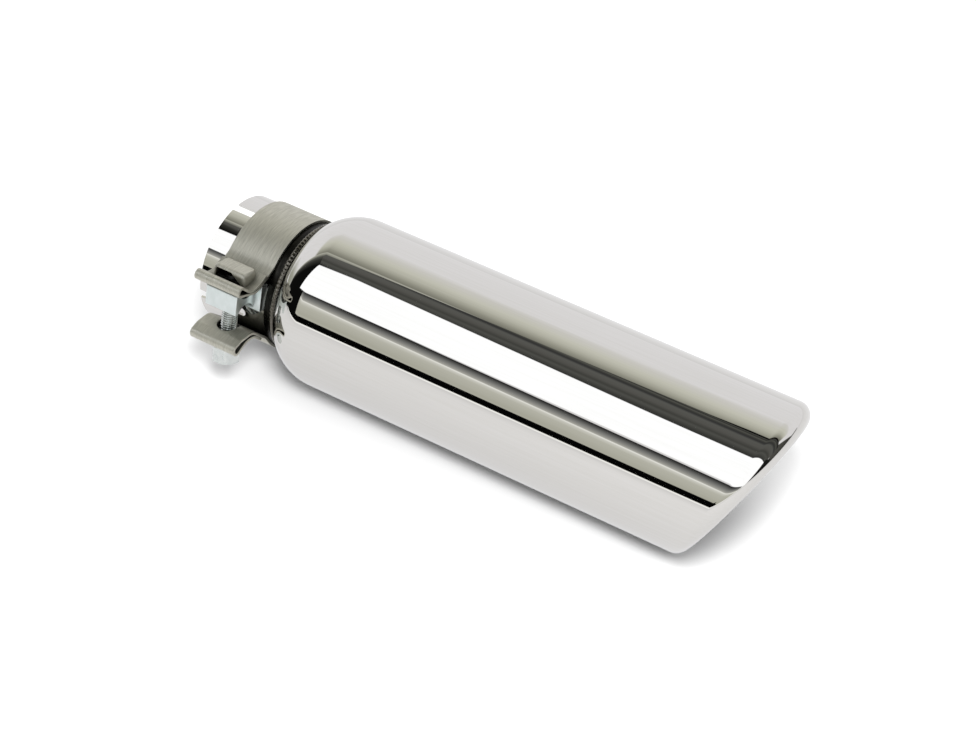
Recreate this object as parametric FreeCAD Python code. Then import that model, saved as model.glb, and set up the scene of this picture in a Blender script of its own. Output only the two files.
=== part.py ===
import FreeCAD, Part
import math
import os

# Bolt-on exhaust tip: a round single-wall outlet with a domed inlet end and a slanted, rolled-in lip,
# welded on a slotted inlet sleeve that a flat band clamp squeezes onto a tail pipe. Millimetres.
# The frame's origin is the centre of the sleeve's mouth. +X runs along the tube to the outlet, +Z is up.

V = FreeCAD.Vector
ORIGIN = V(0, 0, 0)
TUBE_AXIS = V(1, 0, 0)
NEAR = 0.01
SEAM_TOLERANCE = 0.002

# Inlet sleeve, which slides over the tail pipe
PIPE_DIAMETER = 63.5
SLEEVE_WALL = 1.25
SLEEVE_LENGTH = 62.0
SLOT_COUNT = 4
SLOT_WIDTH = 4.8
SLOT_LENGTH = 28.0
SLOT_TURN = 1.0

# Outlet body
BODY_DIAMETER = 88.9
BODY_WALL = 1.5
DOME_START = 44.7
DOME_RADIUS = 25.6
WELD_FILLET = 1.6
LIP_CENTRE = 288.0
LIP_SLANT = 29.5
LIP_ROLL_RADIUS = 7.0
LIP_ROLL_TURN = 180.0
LIP_POINTS_ACROSS = 6
LIP_POINTS_AROUND = 25
LIP_INNER_STEPS = 4
DOME_INNER_STEPS = 2

# Clamp strap: one strip, bent round the sleeve, its two ends folded double into ears
BAND_START = 12.3
BAND_WIDTH = 27.0
STRAP_THICKNESS = 1.27
BAND_CLEARANCE = 0.2
CLAMP_TURN = 14.0
EAR_ROOT_ANGLE = 39.5
EAR_ROOT_BEND = 10.0
EAR_RAMP_SLOPE = -32.0
EAR_VALLEY_REACH = 40.6
EAR_VALLEY_HALF_GAP = 11.4
EAR_VALLEY_BEND = 8.0
UPPER_FLARE_SLOPE = 12.0
UPPER_FLARE_LENGTH = 15.8
LOWER_FLARE_SLOPE = 8.0
LOWER_FLARE_LENGTH = 9.0
LOWER_TIP_SLOPE = 26.0
LOWER_TIP_LENGTH = 6.8
FLARE_BEND = 4.0
HEM_BEND = 2.05
HEM_TURN = 98.0
HEM_HEIGHT = 5.2
RETURN_SLOPE = 36.0
RETURN_RISE = 1.5
RETURN_BEND = 9.8
RETURN_RAMP_LENGTH = 11.7

# Bolt, its slots in the ears, and the saddle washer under its head
BOLT_DIAMETER = 8.0
BOLT_PAST_VALLEY = 1.4
BOLT_STAND_OUT = 0.8
HEAD_ACROSS_FLATS = 13.0
HEAD_HEIGHT = 8.5
HEAD_TURN = 11.0
EAR_SLOT_WIDTH = 10.6
EAR_SLOT_LENGTH = 13.0
SADDLE_LENGTH = 12.0
SADDLE_WIDTH = 10.5
SADDLE_BASE = 22.8
SEAT_CLEARANCE = 0.1

# Nut, held between the two layers of the upper ear under a raised pocket
NUT_LENGTH = 13.0
NUT_WIDTH = 9.2
NUT_TOP = 16.4
POCKET_LENGTH = 18.4
POCKET_INNER_ROOM = 0.33
POCKET_OUTER_ROOM = 0.5
POCKET_ROOF_ROOM = 3.73
POCKET_ROUND = 2.2
WINDOW_LEFT_ROOM = 0.7
WINDOW_RIGHT_ROOM = 1.1
WINDOW_CREST = 1.8
WINDOW_TOP_DROP = 1.3
WINDOW_RIGHT_DROP = 0.4

# Reaction block, clamped between the ears
BLOCK_LENGTH = 18.5
BLOCK_WALL = 4.7
BLOCK_FACE_HEIGHT = 10.8
BLOCK_SHIFT = 5.7
SCOOP_RADIUS = 7.0
SCOOP_PAST_BOLT = 0.6
SCOOP_OFFSET = 8.8
FOOT_THICKNESS = 3.0
FOOT_HEIGHT = 14.0
FOOT_SIDE_ROOM = 0.3
BLOCK_BORE_CLEARANCE = 0.6
BLOCK_EDGE_ROUND = 0.5

# Values that follow from the sizes above
body_radius = BODY_DIAMETER / 2
sleeve_inner = PIPE_DIAMETER / 2
sleeve_outer = sleeve_inner + SLEEVE_WALL
band_inner = sleeve_outer + BAND_CLEARANCE
band_middle = BAND_START + BAND_WIDTH / 2
strap_circle = band_inner + STRAP_THICKNESS / 2
lip_curve_radius = body_radius - LIP_ROLL_RADIUS
slant = math.tan(math.radians(LIP_SLANT))
far_out = LIP_CENTRE + 3 * BODY_DIAMETER
layer_seat = STRAP_THICKNESS / 2 + SEAT_CLEARANCE
bolt_reach = EAR_VALLEY_REACH + BOLT_PAST_VALLEY
bolt_length = SADDLE_BASE + NUT_TOP + BOLT_STAND_OUT
bore_radius = (BOLT_DIAMETER + BLOCK_BORE_CLEARANCE) / 2
pocket_inner_reach = bolt_reach - NUT_WIDTH / 2 - POCKET_INNER_ROOM - STRAP_THICKNESS
pocket_outer_reach = bolt_reach + NUT_WIDTH / 2 + POCKET_OUTER_ROOM
pocket_top = NUT_TOP + POCKET_ROOF_ROOM + STRAP_THICKNESS
block_face_reach = bolt_reach + bore_radius + BLOCK_WALL
scoop_reach = bolt_reach + SCOOP_PAST_BOLT
foot_reach = band_inner + FOOT_THICKNESS
band_front = V(BAND_START, 0, 0)
band_step = V(BAND_WIDTH, 0, 0)
dome_height = body_radius - DOME_RADIUS
dome_turn = math.degrees(math.acos((sleeve_outer - dome_height) / DOME_RADIUS))
weld_turn = dome_turn - math.degrees(WELD_FILLET / DOME_RADIUS)
dome_end = DOME_START + DOME_RADIUS * math.sin(math.radians(dome_turn))


def direction(degrees):
    """Unit vector in the clamp's section: 0 points out along the ears, 90 across the gap."""
    angle = math.radians(degrees)
    return V(0, -math.cos(angle), math.sin(angle))


def section_point(reach, rise, along=0.0):
    """A point by its reach from the tube's axis and its rise above the clamp's middle plane."""
    return V(along, -reach, rise)


def closed_face(edges):
    return Part.Face(Part.Wire(Part.__sortEdges__(edges)))


def box_between(low, high):
    size = high - low
    return Part.makeBox(size.x, size.y, size.z, low)


def rod(radius, start, finish):
    along = finish - start
    return Part.makeCylinder(radius, along.Length, start, along)


def turned(shape):
    """Turns a clamp piece round the tube, so that its ears point up by CLAMP_TURN."""
    shape.rotate(ORIGIN, TUBE_AXIS, -CLAMP_TURN)
    return shape


def save(shape, name):
    solids = shape.Solids
    if len(solids) != 1 or not shape.isValid():
        raise ValueError(name + " is not one valid solid")
    solids[0].exportStep("parts/" + name + ".step")


# Outlet body

def beyond_lip(radius):
    """All that lies past the slanted curve on this radius."""
    slope = slant * lip_curve_radius / radius
    reach = BODY_DIAMETER
    corners = [
        V(LIP_CENTRE - slope * reach, 0, -reach),
        V(far_out, 0, -reach),
        V(far_out, 0, reach),
        V(LIP_CENTRE + slope * reach, 0, reach),
    ]
    side = Part.Face(Part.makePolygon(corners + corners[:1]))
    side.translate(V(0, -reach, 0))
    return side.extrude(V(0, 2 * reach, 0))


def curl_curve(radius, turn):
    """Points half way round the mouth at one turn of the curl, which is round about its centre curve."""
    points = []
    for number in range(LIP_POINTS_AROUND):
        around = math.pi * number / (LIP_POINTS_AROUND - 1)
        radial = V(0, math.sin(around), math.cos(around))
        sideways = V(0, math.cos(around), -math.sin(around))
        outward = (TUBE_AXIS + sideways * (slant * math.sin(around))).normalize()
        centre = TUBE_AXIS * (LIP_CENTRE + slant * lip_curve_radius * radial.z) + radial * lip_curve_radius
        points.append(centre + radial * (radius * math.cos(turn)) + outward * (radius * math.sin(turn)))
    return points


def curve_through(points):
    curve = Part.BSplineCurve()
    curve.interpolate(points)
    return Part.Wire(curve.toShape())


def half_rolled_lip():
    """Half the lip's skin: the round outer curl, and its hidden inside in flat steps with its cut edge."""
    full_turn = math.radians(LIP_ROLL_TURN)
    inner_radius = LIP_ROLL_RADIUS - BODY_WALL
    outer_turns = [full_turn * n / (LIP_POINTS_ACROSS - 1) for n in range(LIP_POINTS_ACROSS)]
    inner_turns = [full_turn * n / LIP_INNER_STEPS for n in range(LIP_INNER_STEPS + 1)]
    outer_curl = Part.BSplineSurface()
    outer_curl.interpolate([curl_curve(LIP_ROLL_RADIUS, turn) for turn in outer_turns])
    inner_curves = [curve_through(curl_curve(inner_radius, turn)) for turn in inner_turns]
    cut_edge = curve_through(curl_curve(LIP_ROLL_RADIUS, full_turn))
    inner_curl = Part.makeLoft(inner_curves + [cut_edge], False, True)
    return Part.Compound([outer_curl.toShape(), *inner_curl.Faces])


def dome_point(radius, turn):
    """A point on the dome's arc, or on the arc of its inner face, by its turn from the side wall."""
    angle = math.radians(turn)
    return V(dome_end - radius * math.sin(angle), 0, dome_height + radius * math.cos(angle))


def dome_arc(start, end):
    """Part of the dome's outer arc; in two such strips its mesh needs fewer facets than in one."""
    middle = (start + end) / 2
    return Part.Arc(*[dome_point(DOME_RADIUS, turn) for turn in (start, middle, end)]).toShape()


def tip_shell():
    """Its inner profile ends with the weld bead, which stands on the sleeve against the dome."""
    inner_radius = DOME_RADIUS - BODY_WALL
    inner_turn = math.degrees(math.acos((sleeve_outer - dome_height) / inner_radius))
    inner_turns = [inner_turn * n / DOME_INNER_STEPS for n in range(DOME_INNER_STEPS + 1)]
    inner_profile = [V(far_out, 0, body_radius - BODY_WALL)]
    inner_profile += [dome_point(inner_radius, turn) for turn in inner_turns]
    inner_profile += [
        dome_point(DOME_RADIUS, dome_turn) - V(WELD_FILLET, 0, 0),
        dome_point(DOME_RADIUS, weld_turn),
    ]
    wall = Part.makeLine(V(far_out, 0, body_radius), dome_point(DOME_RADIUS, 0))
    dome = [dome_arc(0, weld_turn / 2), dome_arc(weld_turn / 2, weld_turn)]

    outside = Part.Wire([wall, *dome]).revolve(ORIGIN, TUBE_AXIS, -180)
    inside = Part.makePolygon(inner_profile).revolve(ORIGIN, TUBE_AXIS, -180)
    outside = outside.cut(beyond_lip(body_radius))
    inside = inside.cut(beyond_lip(body_radius - BODY_WALL))
    half_skin = Part.Compound(outside.Faces + inside.Faces + half_rolled_lip().Faces)
    skin = Part.Compound(half_skin.Faces + half_skin.mirror(ORIGIN, V(0, 1, 0)).Faces)
    skin.fixTolerance(SEAM_TOLERANCE)
    body = Part.Solid(Part.Shell(skin.Faces))
    if body.Volume < 0:
        body.reverse()
    return body


# Inlet sleeve

def inlet_sleeve():
    tube = rod(sleeve_outer, ORIGIN, V(SLEEVE_LENGTH, 0, 0))
    bore = rod(sleeve_inner, ORIGIN, V(SLEEVE_LENGTH, 0, 0))
    sleeve = tube.cut(bore)
    half = SLOT_WIDTH / 2
    for number in range(SLOT_COUNT):
        straight = SLOT_LENGTH - half
        slot = box_between(V(-1, -half, 0), V(straight, half, body_radius))
        slot = slot.fuse(rod(half, V(straight, 0, 0), V(straight, 0, body_radius)))
        slot.rotate(ORIGIN, TUBE_AXIS, SLOT_TURN + number * 360 / SLOT_COUNT)
        sleeve = sleeve.cut(slot)
    return sleeve


# Clamp strap

def rounded_path(corners, bends):
    """Straight runs with a round bend at each inner corner, as (start, middle or None, end, centre)."""
    runs = []
    start = corners[0]
    for before, corner, after, bend in zip(corners, corners[1:], corners[2:], bends):
        entry = (corner - before).normalize()
        leave = (after - corner).normalize()
        half_turn = entry.getAngle(leave) / 2
        setback = bend * math.tan(half_turn)
        bend_start = corner - entry * setback
        bend_end = corner + leave * setback
        inward = (leave - entry).normalize()
        centre = corner + inward * (bend / math.cos(half_turn))
        runs.append((start, None, bend_start, None))
        runs.append((bend_start, centre - inward * bend, bend_end, centre))
        start = bend_end
    runs.append((start, None, corners[-1], None))
    return runs


def beside(point, run, distance):
    """The point moved off its run by a distance, to the left as the run goes."""
    start, middle, end, centre = run
    if centre is None:
        left = TUBE_AXIS.cross(end - start).normalize()
    else:
        to_centre = (centre - point).normalize()
        turns_left = TUBE_AXIS.cross(middle - start).dot(centre - start) > 0
        left = to_centre if turns_left else to_centre * -1
    return point + left * distance


def offset_edges(runs, distance):
    edges = []
    for run in runs:
        start, middle, end, centre = run
        first = beside(start, run, distance)
        last = beside(end, run, distance)
        if centre is None:
            edges.append(Part.LineSegment(first, last).toShape())
        else:
            edges.append(Part.Arc(first, beside(middle, run, distance), last).toShape())
    return edges


def crossing(point, way, other, other_way):
    """Where two lines in the clamp's section meet."""
    across = TUBE_AXIS.cross(other_way)
    return point + way * ((other - point).dot(across) / way.dot(across))


def ear_path(flare):
    """An ear's middle line: off the band, down to the valley, out along the flare, round the hem and back."""
    root = direction(EAR_ROOT_ANGLE) * strap_circle
    valley = section_point(EAR_VALLEY_REACH, EAR_VALLEY_HALF_GAP)
    ramp = direction(EAR_RAMP_SLOPE)
    corners = [root, crossing(root, direction(EAR_ROOT_ANGLE - 90), valley, ramp), valley]
    for slope, length in flare:
        corners.append(corners[-1] + direction(slope) * length)
    hem_top = corners[-1] + direction(slope + HEM_TURN) * HEM_HEIGHT
    above_valley = valley + direction(EAR_RAMP_SLOPE + 90) * RETURN_RISE
    return_valley = crossing(hem_top, direction(RETURN_SLOPE), above_valley, ramp)
    corners += [hem_top, return_valley, return_valley - ramp * RETURN_RAMP_LENGTH]
    flare_bends = [FLARE_BEND] * (len(flare) - 1)
    bends = [EAR_ROOT_BEND, EAR_VALLEY_BEND, *flare_bends, HEM_BEND, HEM_BEND, RETURN_BEND]
    return rounded_path(corners, bends)


def upper_ear():
    return ear_path([(UPPER_FLARE_SLOPE, UPPER_FLARE_LENGTH)])


def mirrored(point):
    return V(point.x, point.y, -point.z)


def lower_ear():
    """Below the gap, and with a flare that turns down once more before its hem."""
    path = ear_path([(LOWER_FLARE_SLOPE, LOWER_FLARE_LENGTH), (LOWER_TIP_SLOPE, LOWER_TIP_LENGTH)])
    return [
        (mirrored(start), middle and mirrored(middle), mirrored(end), centre and mirrored(centre))
        for start, middle, end, centre in path
    ]


def strap():
    upper = upper_ear()
    lower = [(end, middle, start, centre) for start, middle, end, centre in reversed(lower_ear())]
    round_band = (lower[-1][2], V(0, strap_circle, 0), upper[0][0], ORIGIN)
    runs = lower + [round_band] + upper
    half = STRAP_THICKNESS / 2
    left = offset_edges(runs, half)
    right = offset_edges(runs, -half)
    ends = [
        Part.LineSegment(beside(runs[0][0], runs[0], half), beside(runs[0][0], runs[0], -half)).toShape(),
        Part.LineSegment(beside(runs[-1][2], runs[-1], half), beside(runs[-1][2], runs[-1], -half)).toShape(),
    ]
    section = closed_face(left + right + ends)
    section.translate(band_front)
    return section.extrude(band_step)


def beyond_layer(runs, distance, side):
    """All that lies past one layer of an ear, on the side away from the gap: 1 is above, -1 below."""
    heads_in = runs[0][2].y > runs[0][0].y
    offset = distance * side if heads_in else -distance * side
    edges = offset_edges(runs, offset)
    first = beside(runs[0][0], runs[0], offset)
    last = beside(runs[-1][2], runs[-1], offset)
    far_first = V(0, first.y, side * body_radius)
    far_last = V(0, last.y, side * body_radius)
    edges.append(Part.LineSegment(first, far_first).toShape())
    edges.append(Part.LineSegment(far_first, far_last).toShape())
    edges.append(Part.LineSegment(last, far_last).toShape())
    region = closed_face(edges)
    region.translate(band_front)
    return region.extrude(band_step)


def ear_slot():
    """The long hole for the bolt, through both ears."""
    half = EAR_SLOT_WIDTH / 2
    straight = (EAR_SLOT_LENGTH - EAR_SLOT_WIDTH) / 2
    low = section_point(bolt_reach + straight, -body_radius, band_middle - half)
    high = section_point(bolt_reach - straight, body_radius, band_middle + half)
    slot = box_between(low, high)
    for reach in (bolt_reach - straight, bolt_reach + straight):
        end = section_point(reach, -body_radius, band_middle)
        slot = slot.fuse(rod(half, end, end + V(0, 0, 2 * body_radius)))
    return slot


def pocket_box(inset):
    """The raised pocket's outer form with sharp edges, or with an inset its hollow."""
    half = POCKET_LENGTH / 2 - inset
    low = section_point(pocket_outer_reach - inset, 0, band_middle - half)
    high = section_point(pocket_inner_reach + inset, pocket_top - inset, band_middle + half)
    return box_between(low, high)


def pocket_hump():
    form = pocket_box(0)
    free_edges = [e for e in form.Edges if e.BoundBox.ZMax > pocket_top - NEAR]
    return form.makeFillet(POCKET_ROUND, free_edges)


def pocket_hollow():
    form = pocket_box(STRAP_THICKNESS)
    upright = [e for e in form.Edges if e.BoundBox.ZLength > NEAR]
    return form.makeFillet(POCKET_ROUND - STRAP_THICKNESS, upright)


def pocket_window():
    """The opening in the pocket's outer side, highest on the left."""
    left = band_middle - NUT_LENGTH / 2 - WINDOW_LEFT_ROOM
    right = band_middle + NUT_LENGTH / 2 + WINDOW_RIGHT_ROOM
    top = pocket_top - WINDOW_TOP_DROP
    right_top = NUT_TOP - WINDOW_RIGHT_DROP
    reach = pocket_outer_reach - 2 * STRAP_THICKNESS
    corners = [
        section_point(reach, EAR_VALLEY_HALF_GAP, left),
        section_point(reach, top, left),
        section_point(reach, top, band_middle + WINDOW_CREST),
        section_point(reach, right_top, right),
        section_point(reach, EAR_VALLEY_HALF_GAP, right),
    ]
    opening = Part.Face(Part.makePolygon(corners + corners[:1]))
    return opening.extrude(V(0, -2 * STRAP_THICKNESS - NEAR, 0))


def clamp_band():
    above_gap_layer = beyond_layer(upper_ear()[:5], layer_seat, 1)
    hump = pocket_hump().common(above_gap_layer)
    hollow = pocket_hollow().common(above_gap_layer)
    window = pocket_window().common(above_gap_layer)
    slot_below_nut = ear_slot().cut(above_gap_layer)
    band = strap().fuse(hump).cut(hollow).cut(window).cut(slot_below_nut)
    return turned(band.removeSplitter())


def clamp_nut():
    half = NUT_LENGTH / 2
    half_width = NUT_WIDTH / 2
    low = section_point(bolt_reach + half_width, 0, band_middle - half)
    high = section_point(bolt_reach - half_width, NUT_TOP, band_middle + half)
    seat_side = beyond_layer(upper_ear()[:5], layer_seat, 1)
    nut = box_between(low, high).common(seat_side)
    thread = rod(
        BOLT_DIAMETER / 2,
        section_point(bolt_reach, 0, band_middle),
        section_point(bolt_reach, body_radius, band_middle),
    )
    return turned(nut.cut(thread))


def saddle_washer():
    half = SADDLE_LENGTH / 2
    half_width = SADDLE_WIDTH / 2
    low = section_point(bolt_reach + half_width, -SADDLE_BASE, band_middle - half)
    high = section_point(bolt_reach - half_width, 0, band_middle + half)
    seat_side = beyond_layer(lower_ear()[-3:], layer_seat, -1)
    washer = box_between(low, high).common(seat_side)
    bore = rod(
        bore_radius,
        section_point(bolt_reach, -body_radius, band_middle),
        section_point(bolt_reach, body_radius, band_middle),
    )
    return turned(washer.cut(bore))


# Bolt and block

def hexagon_prism(across_flats, start, height, turn):
    corner_radius = across_flats / math.sqrt(3)
    corners = []
    for number in range(7):
        angle = math.radians(turn + 60 * number)
        corners.append(start + V(corner_radius * math.cos(angle), corner_radius * math.sin(angle), 0))
    return Part.Face(Part.makePolygon(corners)).extrude(V(0, 0, height))


def clamp_bolt():
    seat = section_point(bolt_reach, -SADDLE_BASE, band_middle)
    head_end = seat - V(0, 0, HEAD_HEIGHT)
    head = hexagon_prism(HEAD_ACROSS_FLATS, head_end, HEAD_HEIGHT, HEAD_TURN)
    shank = rod(BOLT_DIAMETER / 2, seat, seat + V(0, 0, bolt_length))
    return turned(head.fuse(shank).removeSplitter())


def reaction_block():
    half_face = BLOCK_FACE_HEIGHT / 2
    half_foot = FOOT_HEIGHT / 2
    half_length = BLOCK_LENGTH / 2
    half_band = BAND_WIDTH / 2 - FOOT_SIDE_ROOM
    outer = box_between(
        section_point(block_face_reach, BLOCK_SHIFT - half_face, band_middle - half_length),
        section_point(scoop_reach, BLOCK_SHIFT + half_face, band_middle + half_length),
    )
    inner = box_between(
        section_point(scoop_reach, BLOCK_SHIFT - half_foot, band_middle - half_length),
        section_point(sleeve_inner, BLOCK_SHIFT + half_foot, band_middle + half_length),
    )
    foot = box_between(
        section_point(foot_reach, BLOCK_SHIFT - half_foot, band_middle - half_band),
        section_point(sleeve_inner, BLOCK_SHIFT + half_foot, band_middle + half_band),
    )
    block = outer.fuse(inner)
    for side in (-1, 1):
        rise = BLOCK_SHIFT + side * SCOOP_OFFSET
        block = block.cut(rod(
            SCOOP_RADIUS,
            section_point(scoop_reach, rise, band_middle - BAND_WIDTH),
            section_point(scoop_reach, rise, band_middle + BAND_WIDTH),
        ))
    block = block.fuse(foot).removeSplitter()
    face_edges = [e for e in block.Edges if abs(e.CenterOfMass.y + block_face_reach) < NEAR]
    block = block.makeFillet(BLOCK_EDGE_ROUND, face_edges)
    seat = rod(band_inner, ORIGIN, V(far_out, 0, 0))
    bore = rod(
        bore_radius,
        section_point(bolt_reach, -body_radius, band_middle),
        section_point(bolt_reach, body_radius, band_middle),
    )
    return turned(block.cut(seat).cut(bore))


os.makedirs("parts", exist_ok=True)
save(tip_shell(), "tip_shell")
save(inlet_sleeve(), "inlet_sleeve")
save(clamp_band(), "clamp_band")
save(reaction_block(), "reaction_block")
save(clamp_bolt(), "clamp_bolt")
save(clamp_nut(), "clamp_nut")
save(saddle_washer(), "saddle_washer")
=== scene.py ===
import math

import bmesh
import bpy
from mathutils import Matrix, Vector


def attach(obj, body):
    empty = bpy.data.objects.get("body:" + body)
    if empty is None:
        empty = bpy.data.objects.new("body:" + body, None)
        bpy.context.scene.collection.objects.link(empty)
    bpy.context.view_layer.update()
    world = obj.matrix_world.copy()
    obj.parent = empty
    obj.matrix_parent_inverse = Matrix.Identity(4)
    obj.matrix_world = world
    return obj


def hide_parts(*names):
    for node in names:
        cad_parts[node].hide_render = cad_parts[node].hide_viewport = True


# The looks of a bolt-on exhaust tip: polished stainless shell and sleeve, a strap clamp with zinc-plated
# hardware, and the pale studio round them. Metres, with lengths written in millimetres times MM.

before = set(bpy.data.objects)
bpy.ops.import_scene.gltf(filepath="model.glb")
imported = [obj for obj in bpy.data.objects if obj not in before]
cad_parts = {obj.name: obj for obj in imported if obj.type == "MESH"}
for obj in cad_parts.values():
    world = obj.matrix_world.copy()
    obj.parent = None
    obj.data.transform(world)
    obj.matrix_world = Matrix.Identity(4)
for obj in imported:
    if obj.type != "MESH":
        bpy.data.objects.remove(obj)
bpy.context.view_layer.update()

MM = 0.001

# Shell, the same sizes as the solid it stands for
BODY_RADIUS = 44.45 * MM
BODY_WALL = 1.5 * MM
DOME_START = 44.7 * MM
DOME_RADIUS = 25.6 * MM
LIP_CENTRE = 288.0 * MM
LIP_SLANT = math.tan(math.radians(29.5))
LIP_ROLL = 7.0 * MM
LIP_TURN = math.radians(180)
SHELL_STEPS = 288
WALL_STEPS = 8
OUTER_DOME_STEPS = 40
OUTER_CURL_STEPS = 56
INNER_DOME_STEPS = 24
INNER_CURL_STEPS = 40

# Weld bead, whose middle lies a little outside the sleeve and before the dome
BEAD_RADIUS = 1.35 * MM
BEAD_RIPPLE = 2.1 * MM
BEAD_OUT = 0.15 * MM
BEAD_BACK = 0.2 * MM
BEAD_SWELL = 0.14
BEAD_STEPS = 720
BEAD_WIDTH = 12
# Past this point the sleeve is painted dark, as painted shade between the clamp and the dome
SLEEVE_SHADE_START = 39.5 * MM

# Inlet sleeve
SLEEVE_RADIUS = 33.0 * MM
SLEEVE_WALL = 1.25 * MM
SLEEVE_LENGTH = 62.0 * MM
SLOT_COUNT = 4
SLOT_WIDTH = 4.8 * MM
SLOT_LENGTH = 28.0 * MM
SLOT_TURN = math.radians(1)
SLOT_STEPS = 12
SECTOR_STEPS = 48
EASED_EDGE = 0.18 * MM
EASED_SEGMENTS = 2
EASED_FROM = math.radians(60)

# Clamp, in its own section: reach is out along the ears, rise is across their gap
CLAMP_TURN = math.radians(14)
CLAMP_MIDDLE = 25.8 * MM
BOLT_REACH = 42.0 * MM
BOLT_SEAT = -22.8 * MM
BOLT_LENGTH = 40.0 * MM
BOLT_RADIUS = 4.0 * MM
BOLT_TIP = 0.9 * MM
# The bolt's last length, in the pocket, is painted dark as the pocket's shade
SHADED_BOLT_END = 6.0 * MM
THREAD_PITCH = 1.25 * MM
THREAD_DEPTH = 0.68 * MM
# The thread's flat on its crest and its flank, as shares of half the pitch, and its steps in one pitch
THREAD_CREST = 1 / 8
THREAD_FLANK = 5 / 8
THREAD_STEPS = 12
HEAD_FLATS = 13.0 * MM
HEAD_HEIGHT = 8.5 * MM
HEAD_TURN = math.radians(11)
# The head's chamfered circle as a share of half its width, the chamfer's slope, and the loop inside its face
HEAD_CHAMFER = 0.97
HEAD_CHAMFER_SLOPE = math.tan(math.radians(30))
HEAD_FACE = 0.9
BOLT_STEPS = 72

# Camera, as the photograph was taken
CAMERA_PLACE = Vector((711.53, -847.57, 920.63)) * MM
CAMERA_AIM = Vector((139.35, 16.51, -20.73)) * MM
CAMERA_LENS = 104.4
CAMERA_SENSOR = 36
CAMERA_REACH = 20

FLOOR_HEIGHT = -BODY_RADIUS
FLOOR_HALF = 1.6
FLOOR_EVENNESS = 0.8
FLOOR_GLOW = 0.85
KEY_PLACE = Vector((0.51, -0.49, 0.77))
KEY_AIM = Vector((0.15, 0, 0))
KEY_SIDE = 0.25
KEY_WATTS = 9
BACKDROP_LIGHT = 1.0
SOFT_LIGHT = 1.05
JOIN = 0.001 * MM
SHARP_FROM = math.radians(35)

# Patterns on the metals
NOISE_LOW, NOISE_HIGH = 0.3, 0.7
STREAK_DETAIL = 2.0
STREAK_ROUGHNESS = 0.6
CLOSE_SAMPLES = 6
# The dark tone of the painted shade in folds, corners and gaps
PAINTED_SHADE = "#2A2A26"


def colour(hex_value):
    """An sRGB hex colour as linear RGBA."""
    channels = [int(hex_value[i:i + 2], 16) / 255 for i in (1, 3, 5)]
    linear = [c / 12.92 if c <= 0.04045 else ((c + 0.055) / 1.055) ** 2.4 for c in channels]
    return (*linear, 1.0)


def add(tree, kind, links=None, **settings):
    """Adds a node: settings name its properties or input sockets, links give sockets their sources."""
    node = tree.nodes.new(kind)
    for name, value in settings.items():
        if hasattr(node, name):
            setattr(node, name, value)
        else:
            node.inputs[name.replace("_", " ")].default_value = value
    for name, source in (links or {}).items():
        tree.links.new(source, node.inputs[name])
    return node


def new_material(name):
    material = bpy.data.materials.new(name)
    material.use_nodes = True
    material.node_tree.nodes.clear()
    return material, material.node_tree


def streaks(tree, length, spacing, across="X"):
    """Fine lines a given length and spacing apart, which run along the tube or, across it, round the tube."""
    coordinates = add(tree, "ShaderNodeTexCoord")
    fine, coarse = 1 / spacing, 1 / length
    scale = (fine, coarse, coarse) if across == "X" else (coarse, fine, fine)
    place = add(tree, "ShaderNodeMapping", {"Vector": coordinates.outputs["Object"]})
    place.inputs["Scale"].default_value = scale
    return add(tree, "ShaderNodeTexNoise", {"Vector": place.outputs[0]}, Scale=1.0,
               Detail=STREAK_DETAIL, Roughness=STREAK_ROUGHNESS)


def between(tree, value, low, high):
    """A pattern's middle, where noise mostly lies, stretched to run from low to high."""
    node = add(tree, "ShaderNodeMapRange", {"Value": value}, From_Min=NOISE_LOW, From_Max=NOISE_HIGH,
               To_Min=low, To_Max=high)
    return node.outputs[0]


def metal(name, tones, roughness, pattern_length, pattern_spacing, depth, edge=0, across="X", painted_shade_reach=0):
    """A metal whose worked surface runs between two tones and two roughnesses with the lines of its making.
    An edge is the radius it is rounded by, and the last argument is the reach of painted shade that darkens
    the colour where other faces come near."""
    material, tree = new_material(name)
    lines = streaks(tree, pattern_length, pattern_spacing, across).outputs["Fac"]
    tone = add(tree, "ShaderNodeMix", {"Factor": between(tree, lines, 0, 1)}, data_type="RGBA")
    tone.inputs["A"].default_value = colour(tones[0])
    tone.inputs["B"].default_value = colour(tones[1])
    shown = tone.outputs["Result"]
    # Painted shade: ambient occlusion darkens the colour towards a dark tone where other faces come near
    if painted_shade_reach:
        open_sky = add(tree, "ShaderNodeAmbientOcclusion", {"Color": shown}, Distance=painted_shade_reach,
                       samples=CLOSE_SAMPLES)
        painted_shade_mix = add(tree, "ShaderNodeMix", {"Factor": open_sky.outputs["AO"]}, data_type="RGBA")
        painted_shade_mix.inputs["A"].default_value = colour(PAINTED_SHADE)
        tree.links.new(shown, painted_shade_mix.inputs["B"])
        shown = painted_shade_mix.outputs["Result"]
    bump = add(tree, "ShaderNodeBump", {"Height": lines}, Distance=depth, Strength=1.0)
    if edge:
        rounded = add(tree, "ShaderNodeBevel", Radius=edge, samples=CLOSE_SAMPLES)
        tree.links.new(rounded.outputs[0], bump.inputs["Normal"])
    shader = add(tree, "ShaderNodeBsdfPrincipled", {
        "Base Color": shown,
        "Roughness": between(tree, lines, *roughness),
        "Normal": bump.outputs[0],
    }, Metallic=1.0)
    add(tree, "ShaderNodeOutputMaterial", {"Surface": shader.outputs[0]})
    return material


# Stainless tube, buffed along its length to a mirror: reflections stay sharp, with faint lengthwise streaks
polished = metal(
    "mirror-polished stainless steel", ("#DEDCD8", "#DAD8D3"), (0.02, 0.035), 60 * MM, 1.2 * MM, 0.0003 * MM,
    across="YZ")
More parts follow.
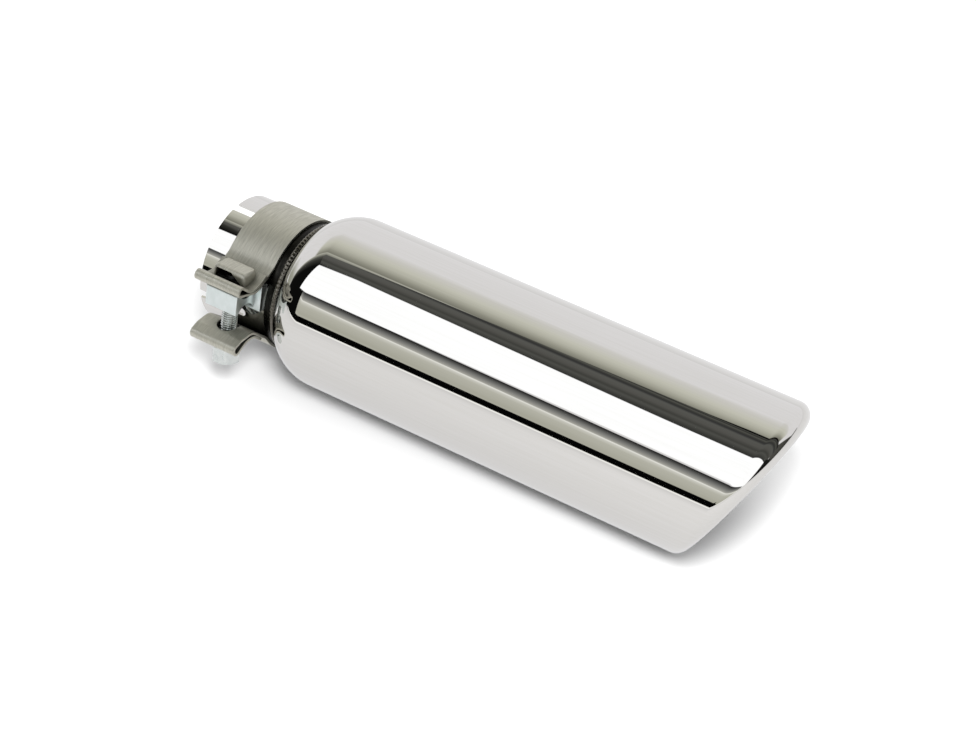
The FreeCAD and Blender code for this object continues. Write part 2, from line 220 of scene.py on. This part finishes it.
# Stainless strip, cold rolled and bent: dull olive grey with short scratches along the strip, and painted
# shade in its folds and between its ears
strap_steel = metal(
    "cold-rolled stainless strap", ("#D6D4C7", "#BFBDB0"), (0.46, 0.6), 7 * MM, 0.4 * MM, 0.004 * MM,
    edge=0.3 * MM, painted_shade_reach=9 * MM)
# Steel block and washer, electroplated with bright zinc: pale blue-grey, smooth, with rounded edges, and
# painted shade where faces meet
zinc = metal(
    "clear zinc plate", ("#E4EBE9", "#DDE5E2"), (0.28, 0.33), 5 * MM, 3 * MM, 0.001 * MM, edge=0.4 * MM,
    painted_shade_reach=3 * MM)
# The bolt's thread was rolled before plating, so its crests stay crisp under the zinc, and painted shade
# darkens its roots
bolt_zinc = metal(
    "clear zinc plate on a rolled thread", ("#E2E5E1", "#D5DAD7"), (0.22, 0.28), 4 * MM, 2 * MM, 0.0003 * MM,
    painted_shade_reach=0.8 * MM)
# The weld's metal is shiny, toned darker than the tube as painted shade, with more painted shade along both
# its sides
shaded_weld_metal = metal(
    "shiny weld metal toned dark as painted shade", ("#848077", "#605D55"), (0.06, 0.11), 4 * MM, 1 * MM, 0.0005 * MM, painted_shade_reach=7 * MM)
# The tube beside the weld was left as welded: dull, with a dark grey-brown heat tint
# The sleeve between the clamp and the weld: dull, and painted dark grey-brown as the shade in that gap
dark_sleeve_shade = metal(
    "stainless steel painted dark as shade", ("#2B2A27", "#1B1A18"), (0.22, 0.36), 4 * MM, 1 * MM, 0.004 * MM)
# Nut of plain turned steel, hidden in its pocket: painted dark as the pocket's shade, and duller than the
# plated parts
dark_pocket_steel = metal(
    "steel painted dark as the pocket's shade", ("#3E3F3D", "#2E2F2D"), (0.40, 0.50), 3 * MM, 0.8 * MM, 0.004 * MM, edge=0.3 * MM)

# The nodes that are shown as they come. The shell, the sleeve and the bolt are built anew below
for node_name, material in {
    "clamp_band": strap_steel,
    "reaction_block": zinc,
    "clamp_nut": dark_pocket_steel,
    "saddle_washer": zinc,
}.items():
    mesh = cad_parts[node_name].data
    mesh.materials.clear()
    mesh.materials.append(material)


def spread(start, end, count):
    return [start + (end - start) * i / count for i in range(count + 1)]


def grid_faces(rows, width, first=0, round_rows=False, round_columns=False):
    faces = []
    for j in range(rows if round_rows else rows - 1):
        k = (j + 1) % rows
        for i in range(width if round_columns else width - 1):
            n = (i + 1) % width
            here, there = first + j * width, first + k * width
            faces.append([here + i, here + n, there + n, there + i])
    return faces


def make_piece(name, points, faces, material):
    """A smooth piece of one skin: points that meet are joined, and edges past SHARP_FROM stay sharp."""
    mesh = bpy.data.meshes.new(name)
    mesh.from_pydata(points, [], faces)
    form = bmesh.new()
    form.from_mesh(mesh)
    bmesh.ops.remove_doubles(form, verts=form.verts, dist=JOIN)
    bmesh.ops.recalc_face_normals(form, faces=form.faces)
    form.to_mesh(mesh)
    form.free()
    mesh.shade_smooth()
    mesh.set_sharp_from_angle(angle=SHARP_FROM)
    mesh.materials.append(material)
    piece = bpy.data.objects.new(name, mesh)
    bpy.context.scene.collection.objects.link(piece)
    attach(piece, "root")
    return piece


def radial(around):
    """Straight out from the tube's axis, by the turn from straight up."""
    return Vector((0, math.sin(around), math.cos(around)))


ALONG = Vector((1, 0, 0))


# Shell

def shell_section(around):
    """The shell's closed section at one angle round the tube, from the sleeve's seat out and back."""
    out = radial(around)
    sideways = radial(around + math.pi / 2)
    dome_height = BODY_RADIUS - DOME_RADIUS
    dome_turn = math.acos((SLEEVE_RADIUS - dome_height) / DOME_RADIUS)
    dome_end = DOME_START + DOME_RADIUS * math.sin(dome_turn)
    curl_circle = BODY_RADIUS - LIP_ROLL
    curl_middle = LIP_CENTRE + LIP_SLANT * curl_circle * math.cos(around)
    curl_out = (ALONG + sideways * (LIP_SLANT * math.sin(around))).normalized()

    def skin(inset, dome_steps, curl_steps):
        radius = DOME_RADIUS - inset
        turn = math.acos((SLEEVE_RADIUS - dome_height) / radius)
        points = []
        for a in spread(turn, 0, dome_steps):
            points.append(ALONG * (dome_end - radius * math.sin(a))
                          + out * (dome_height + radius * math.cos(a)))
        for x in spread(dome_end, curl_middle, WALL_STEPS)[1:-1]:
            points.append(ALONG * x + out * (BODY_RADIUS - inset))
        roll = LIP_ROLL - inset
        for a in spread(0, LIP_TURN, curl_steps):
            middle = ALONG * curl_middle + out * curl_circle
            points.append(middle + out * (roll * math.cos(a)) + curl_out * (roll * math.sin(a)))
        return points

    outside = skin(0, OUTER_DOME_STEPS, OUTER_CURL_STEPS)
    inside = skin(BODY_WALL, INNER_DOME_STEPS, INNER_CURL_STEPS)
    return outside + inside[::-1]


def build_shell():
    sections = [shell_section(math.tau * j / SHELL_STEPS) for j in range(SHELL_STEPS)]
    points = [p for section in sections for p in section]
    faces = grid_faces(SHELL_STEPS, len(sections[0]), round_rows=True, round_columns=True)
    shell = make_piece("shell", points, faces, polished)
    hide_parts("tip_shell")


def build_weld_bead():
    """The weld's round bead between sleeve and dome, with the overlapping ripples of its weld pool."""
    middle_radius = SLEEVE_RADIUS + BEAD_OUT
    ripples = round(math.tau * middle_radius / BEAD_RIPPLE)
    points = []
    for j in range(BEAD_STEPS):
        around = math.tau * j / BEAD_STEPS
        swell = abs(math.sin(ripples * around / 2))
        size = BEAD_RADIUS * (1 - BEAD_SWELL + BEAD_SWELL * swell)
        for i in range(BEAD_WIDTH):
            a = math.tau * i / BEAD_WIDTH
            points.append(ALONG * (DOME_START - BEAD_BACK + size * math.cos(a))
                          + radial(around) * (middle_radius + size * math.sin(a)))
    faces = grid_faces(BEAD_STEPS, BEAD_WIDTH, round_rows=True, round_columns=True)
    make_piece("weld_bead", points, faces, shaded_weld_metal)


def build_sleeve():
    """The sleeve's outer skin in sectors between its slots, given its wall inwards and its edges eased."""
    half = SLOT_WIDTH / 2
    straight = SLOT_LENGTH - half
    sector = math.tau / SLOT_COUNT
    quarter = spread(0, math.pi / 2, SLOT_STEPS)
    places = spread(0, straight, SLOT_STEPS) + [straight + half * math.sin(a) for a in quarter[1:]]
    places += spread(SLOT_LENGTH, SLEEVE_LENGTH, SLOT_STEPS)[1:]
    points = []
    faces = []
    for number in range(SLOT_COUNT):
        middle = SLOT_TURN + sector * (number + 0.5)
        shares = spread(-1, 1, SECTOR_STEPS)
        faces += grid_faces(len(shares), len(places), first=len(points))
        for share in shares:
            for x in places:
                opening = math.sqrt(max(0, half ** 2 - max(0, x - straight) ** 2))
                edge = sector / 2 - math.asin(opening / SLEEVE_RADIUS)
                points.append(ALONG * x + radial(-(middle + edge * share)) * SLEEVE_RADIUS)
    sleeve = make_piece("sleeve", points, faces, polished)
    # Its end past the clamp is painted dark, as painted shade in the gap before the dome
    sleeve.data.materials.append(dark_sleeve_shade)
    for face in sleeve.data.polygons:
        face.material_index = int(face.center.x > SLEEVE_SHADE_START)
    wall = sleeve.modifiers.new("wall", "SOLIDIFY")
    wall.thickness = SLEEVE_WALL
    wall.offset = -1
    eased = sleeve.modifiers.new("eased edges", "BEVEL")
    eased.width = EASED_EDGE
    eased.segments = EASED_SEGMENTS
    eased.limit_method = "ANGLE"
    eased.angle_limit = EASED_FROM
    eased.harden_normals = True
    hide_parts("inlet_sleeve")


# Bolt

def thread_radius(rise, around):
    """The threaded shank's radius: a 60 degree thread with narrow flats on its crests and in its roots."""
    turn = (rise / THREAD_PITCH - around / math.tau) % 1
    from_crest = abs(2 * turn - 1)
    cut = min(1, max(0, (from_crest - THREAD_CREST) / THREAD_FLANK))
    tip = BOLT_LENGTH - BOLT_TIP
    return min(BOLT_RADIUS - THREAD_DEPTH * cut, BOLT_RADIUS - max(0, rise - tip))


def bolt_profile(around):
    """Radius and rise from the seat at one angle, from the middle of the head's end to the shank's tip."""
    flat = HEAD_FLATS / 2
    corner_turn = (around - HEAD_TURN) % (math.pi / 3) - math.pi / 6
    hexagon = flat / math.cos(corner_turn)
    chamfer = flat * HEAD_CHAMFER
    chamfer_drop = (hexagon - chamfer) * HEAD_CHAMFER_SLOPE
    profile = [
        (0, -HEAD_HEIGHT),
        (chamfer * HEAD_FACE, -HEAD_HEIGHT),
        (chamfer, -HEAD_HEIGHT),
        (hexagon, -HEAD_HEIGHT + chamfer_drop),
        (hexagon, 0),
        (BOLT_RADIUS, 0),
    ]
    count = round(BOLT_LENGTH / THREAD_PITCH * THREAD_STEPS)
    profile += [(thread_radius(rise, around), rise) for rise in spread(0, BOLT_LENGTH, count)]
    profile.append((0, BOLT_LENGTH))
    return profile


def build_bolt():
    seat = Matrix.Translation((CLAMP_MIDDLE, -BOLT_REACH, BOLT_SEAT))
    to_section = Matrix.Rotation(-CLAMP_TURN, 4, "X") @ seat
    points = []
    for j in range(BOLT_STEPS):
        around = HEAD_TURN + math.tau * j / BOLT_STEPS
        profile = bolt_profile(around)
        points += [to_section @ Vector((r * math.cos(around), r * math.sin(around), z)) for r, z in profile]
    faces = grid_faces(BOLT_STEPS, len(profile), round_rows=True)
    bolt = make_piece("bolt", points, faces, bolt_zinc)
    # The bolt's end in the pocket takes the dark steel, as painted shade
    bolt.data.materials.append(dark_pocket_steel)
    to_bolt = to_section.inverted()
    for face in bolt.data.polygons:
        face.material_index = int((to_bolt @ face.center).z > BOLT_LENGTH - SHADED_BOLT_END)
    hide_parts("clamp_bolt")


build_shell()
build_weld_bead()
build_sleeve()
build_bolt()

# Studio

floor_material, tree = new_material("white studio floor")
rays = add(tree, "ShaderNodeLightPath")
matt = add(tree, "ShaderNodeBsdfDiffuse", Color=colour("#F4F4F4"))
even = add(tree, "ShaderNodeEmission", Color=colour("#F6F6F9"), Strength=FLOOR_GLOW)
mirrored = add(tree, "ShaderNodeMixShader", {1: matt.outputs[0], 2: even.outputs[0]}, Fac=FLOOR_EVENNESS)
seen = add(tree, "ShaderNodeMixShader",
           {0: rays.outputs["Is Glossy Ray"], 1: matt.outputs[0], 2: mirrored.outputs[0]})
add(tree, "ShaderNodeOutputMaterial", {"Surface": seen.outputs[0]})

floor_mesh = bpy.data.meshes.new("studio_floor")
floor_corners = [(-1, -1), (1, -1), (1, 1), (-1, 1)]
floor_points = [(x * FLOOR_HALF, y * FLOOR_HALF, FLOOR_HEIGHT) for x, y in floor_corners]
floor_mesh.from_pydata(floor_points, [], [range(len(floor_points))])
floor_mesh.materials.append(floor_material)
floor = bpy.data.objects.new("studio_floor", floor_mesh)
bpy.context.scene.collection.objects.link(floor)

# What the polished metal mirrors. A card's corners are directions from the object, as degrees from straight
# up towards the camera's side, and degrees of lean towards the outlet. Its tones, as the metal shows them,
# run from its first side, between the first two corners, to its third. The first number is its edge's blur.
TENT = "#D4D2D1"
CARDS = {
    "edge of the tent": (
        4, [(-46, -42), (-52, 44), (-4, 40), (24, -46)],
        [(0, "#D2D0CE"), (0.14, "#C6C4BE"), (0.3, "#BEBDB0"), (0.4, "#B0AFA2"), (0.47, "#9C9B8E"),
         (0.52, "#8A897D"), (0.6, "#6E6D62"), (1, "#6E6D62")]),
    "dark room behind the clamp": (
        9, [(-60, -73), (30, -66), (120, -66), (-150, -66)],
        [(0, "#A9A99C"), (0.5, "#8C8C80"), (1, "#5E5E54")]),
    "dark room below the clamp's end": (
        1, [(-11, -22), (12, -74), (110, -70), (93, -12)],
        [(0, "#B8B7AB"), (0.04, "#96958A"), (0.1, "#50504A"), (0.16, "#32322E"), (0.25, "#0E0E0D"),
         (1, "#060606")]),
    "dark room beyond the lip": (
        2, [(-155, 36), (170, 75), (60, 80), (-88, 36)],
        [(0, "#10100F"), (0.3, "#2E2E2C"), (1, "#4C4B47")]),
    "dark room over the lip": (
        2, [(-96, 46), (-160, 80), (110, 76), (-8, 46)],
        [(0, "#2C2C29"), (0.5, "#45443F"), (1, "#4C4B47")]),
    "gap beside the tent": (
        0.4, [(-17, -18), (-26, 62), (45, 68), (15, -27.5), (-3, -31)],
        [(0, "#030303"), (0.065, "#040404"), (0.09, "#484844"), (0.13, "#2A2A27"), (0.17, "#50504B"),
         (0.22, "#3C3C38"), (0.28, "#303030"), (0.36, "#545450"), (0.5, "#504F4B"), (0.62, "#3E3E3A"),
         (0.7, "#4C4C48"), (0.85, "#363633"), (1, "#2E2E2C")]),
    "grey reflector": (
        0.5, [(47, -34.5), (84, 48), (118, 50), (92, -34)],
        [(0, "#101010"), (0.04, "#2A2A29"), (0.1, "#565654"), (0.16, "#737370"), (0.22, "#8E8D88"),
         (0.265, "#A5A49C"), (0.285, "#E4E3DC"), (0.32, "#C6C5BC"), (0.4, "#B2B1A5"), (0.65, "#A5A497"),
         (1, "#C8C7BC")]),
    "softbox": (
        0.5, [(13.3, -24.5), (29, 62), (96, 56), (50.2, -24.5)],
        [(0, "#FFFFFF"), (1, "#FFFFFF")]),
    "softbox's near end": (
        0.5, [(9, -27.5), (14.6, -19.5), (51.6, -19.5), (48.8, -46.5)],
        [(0, "#FFFFFF"), (1, "#FFFFFF")]),
    "black flag": (
        0.4, [(81.5, -38), (83, -8), (90.3, -8), (90.5, -38)],
        [(0, "#040404"), (1, "#040404")]),
    "black flag's far end": (
        0.4, [(82.6, -16), (102, 27), (106, 26), (88.8, -16)],
        [(0, "#040404"), (1, "#040404")]),
    "dark room past the softbox": (
        1, [(20, 60), (-40, 84), (150, 70), (98, 58)],
        [(0, "#1A1A18"), (1, "#0C0C0B")]),
    "lit edge of the table": (
        0.2, [(90.2, -60), (90.4, 60), (92.5, 60), (92.5, -60)],
        [(0, "#F4F3EE"), (1, "#E4E3DE")]),
}
METAL_TONE = colour("#DCDAD6")
# Tones are held as shares of this light, so that even a white card stays under 1. It cancels out again
CARD_LIGHT = 1.61


def aim(turn, lean):
    turn, lean = math.radians(turn), math.radians(lean)
    return Vector((math.sin(lean), -math.cos(lean) * math.sin(turn), math.cos(lean) * math.cos(turn)))


def light_for(tone):
    """The light that makes the polished metal show a tone, as a share of CARD_LIGHT."""
    shown = colour(tone)
    return (*[shown[i] / METAL_TONE[i] / CARD_LIGHT for i in range(3)], 1)


def lay_card(tree, direction, behind, blur, corners, tones):
    """Lays one card over what is behind it, with its edge's blur in degrees."""
    aims = [aim(turn, lean) for turn, lean in corners]
    middle = sum(aims, Vector())
    depths = []
    for start, end in zip(aims, aims[1:] + aims[:1]):
        inward = start.cross(end).normalized()
        if inward.dot(middle) < 0:
            inward.negate()
        depth = add(tree, "ShaderNodeVectorMath", {0: direction}, operation="DOT_PRODUCT")
        depth.inputs[1].default_value = inward
        depths.append(depth.outputs["Value"])
    nearest = depths[0]
    for depth in depths[1:]:
        nearest = add(tree, "ShaderNodeMath", {0: nearest, 1: depth}, operation="MINIMUM").outputs[0]
    cover = add(tree, "ShaderNodeMapRange", {"Value": nearest}, From_Min=0.0, From_Max=math.radians(blur))
    width = add(tree, "ShaderNodeMath", {0: depths[0], 1: depths[2]}, operation="ADD").outputs[0]
    share = add(tree, "ShaderNodeMath", {0: depths[0], 1: width}, operation="DIVIDE").outputs[0]
    ramp = add(tree, "ShaderNodeValToRGB", {0: share})
    stops = ramp.color_ramp.elements
    stops.remove(stops[-1])
    for number, (position, tone) in enumerate(tones):
        stop = stops[0] if number == 0 else stops.new(position)
        stop.position = position
        stop.color = light_for(tone)
    laid = add(tree, "ShaderNodeMix", {"Factor": cover.outputs[0]}, data_type="RGBA")
    tree.links.new(behind, laid.inputs["A"])
    tree.links.new(ramp.outputs[0], laid.inputs["B"])
    return laid.outputs["Result"]


world = bpy.data.worlds.new("studio")
bpy.context.scene.world = world
world.use_nodes = True
tree = world.node_tree
tree.nodes.clear()
coordinates = add(tree, "ShaderNodeTexCoord")
tent = add(tree, "ShaderNodeRGB")
tent.outputs[0].default_value = light_for(TENT)
mirrored_light = tent.outputs[0]
for card in CARDS.values():
    mirrored_light = lay_card(tree, coordinates.outputs["Generated"], mirrored_light, *card)
rays = add(tree, "ShaderNodeLightPath")
backdrop = add(tree, "ShaderNodeBackground", Color=(1, 1, 1, 1), Strength=BACKDROP_LIGHT)
soft = add(tree, "ShaderNodeBackground", Color=(1, 1, 1, 1), Strength=SOFT_LIGHT)
mirrored = add(tree, "ShaderNodeBackground", {"Color": mirrored_light}, Strength=CARD_LIGHT)
by_gloss = add(tree, "ShaderNodeMixShader",
               {0: rays.outputs["Is Glossy Ray"], 1: soft.outputs[0], 2: mirrored.outputs[0]})
by_camera = add(tree, "ShaderNodeMixShader",
                {0: rays.outputs["Is Camera Ray"], 1: by_gloss.outputs[0], 2: backdrop.outputs[0]})
add(tree, "ShaderNodeOutputWorld", {"Surface": by_camera.outputs[0]})
world.cycles.sampling_method = "NONE"

lamp = bpy.data.lights.new("key", "AREA")
lamp.shape = "RECTANGLE"
lamp.size = KEY_SIDE
lamp.size_y = KEY_SIDE
lamp.energy = KEY_WATTS
key = bpy.data.objects.new("key", lamp)
key.location = KEY_PLACE
key.rotation_euler = (KEY_AIM - key.location).to_track_quat("-Z", "Y").to_euler()
key.visible_glossy = False
bpy.context.scene.collection.objects.link(key)

camera_data = bpy.data.cameras.new("camera")
camera_data.lens = CAMERA_LENS
camera_data.sensor_width = CAMERA_SENSOR
camera_data.clip_end = CAMERA_REACH
camera = bpy.data.objects.new("camera", camera_data)
camera.location = CAMERA_PLACE
camera.rotation_euler = (CAMERA_AIM - CAMERA_PLACE).to_track_quat("-Z", "Y").to_euler()
bpy.context.scene.collection.objects.link(camera)
bpy.context.scene.camera = camera

bpy.context.scene.view_settings.view_transform = "Standard"
bpy.context.scene.cycles.caustics_reflective = False
